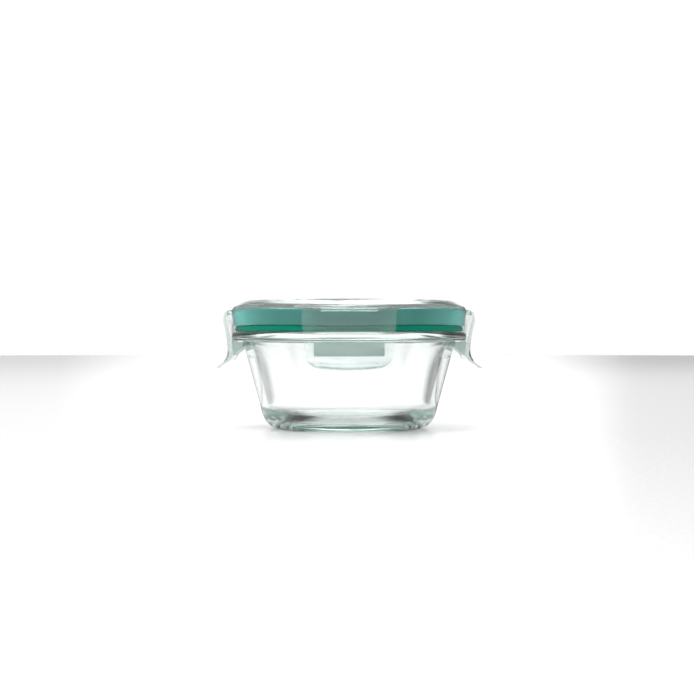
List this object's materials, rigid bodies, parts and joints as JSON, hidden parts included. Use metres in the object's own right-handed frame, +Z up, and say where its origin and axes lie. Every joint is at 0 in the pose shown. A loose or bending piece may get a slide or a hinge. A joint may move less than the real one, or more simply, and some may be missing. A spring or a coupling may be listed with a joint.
{
  "type": "glass storage container",
  "caption": "Round tapered glass food container with a flanged rim, a clear plastic lid with a silicone seal, and hinged latches that catch under the rim.",
  "frame": {"origin": "centre of the foot, on the surface that the bowl stands on", "axes": "+Z up along the bowl's axis; the latches lie on the X and Y axes, and the front one faces -Y"},
  "size_m": [0.1322, 0.1322, 0.0634],
  "materials": {
    "bowl_glass": "clear pressed glass, polished",
    "lid_plastic": "clear gloss top with a finely frosted skirt",
    "latch_plastic": "clear, slightly milky moulded plastic",
    "seal_silicone": "satin teal silicone"
  },
  "bodies": {
    "bowl": {"glass_bowl": "bowl_glass"},
    "lid": {"lid_shell": "lid_plastic", "seal_gasket": "seal_silicone", "hinge_web_right": "latch_plastic", "hinge_web_back": "latch_plastic", "hinge_web_left": "latch_plastic", "hinge_web_front": "latch_plastic"},
    "latch_right": {"latch_right": "latch_plastic"},
    "latch_back": {"latch_back": "latch_plastic"},
    "latch_left": {"latch_left": "latch_plastic"},
    "latch_front": {"latch_front": "latch_plastic"}
  },
  "joints": [
    {"name": "lid_lift", "type": "slide", "parent": "bowl", "child": "lid", "axis": [0, 0, 1], "range_m": [0, 0.0125]},
    {"name": "latch_right_swing", "type": "hinge", "parent": "lid", "child": "latch_right", "pos_m": [0.06025, 0, 0.05745], "axis": [0, -1, 0], "range_deg": [0, 120]},
    {"name": "latch_back_swing", "type": "hinge", "parent": "lid", "child": "latch_back", "pos_m": [0, 0.06025, 0.05745], "axis": [1, 0, 0], "range_deg": [0, 120]},
    {"name": "latch_left_swing", "type": "hinge", "parent": "lid", "child": "latch_left", "pos_m": [-0.06025, 0, 0.05745], "axis": [0, 1, 0], "range_deg": [0, 120]},
    {"name": "latch_front_swing", "type": "hinge", "parent": "lid", "child": "latch_front", "pos_m": [0, -0.06025, 0.05745], "axis": [-1, 0, 0], "range_deg": [0, 120]}
  ],
  "couplings": [
    {"joint": "latch_right_swing", "follows": "lid_lift", "rad_per_m": 167.55},
    {"joint": "latch_back_swing", "follows": "lid_lift", "rad_per_m": 167.55},
    {"joint": "latch_left_swing", "follows": "lid_lift", "rad_per_m": 167.55},
    {"joint": "latch_front_swing", "follows": "lid_lift", "rad_per_m": 167.55}
  ]
}
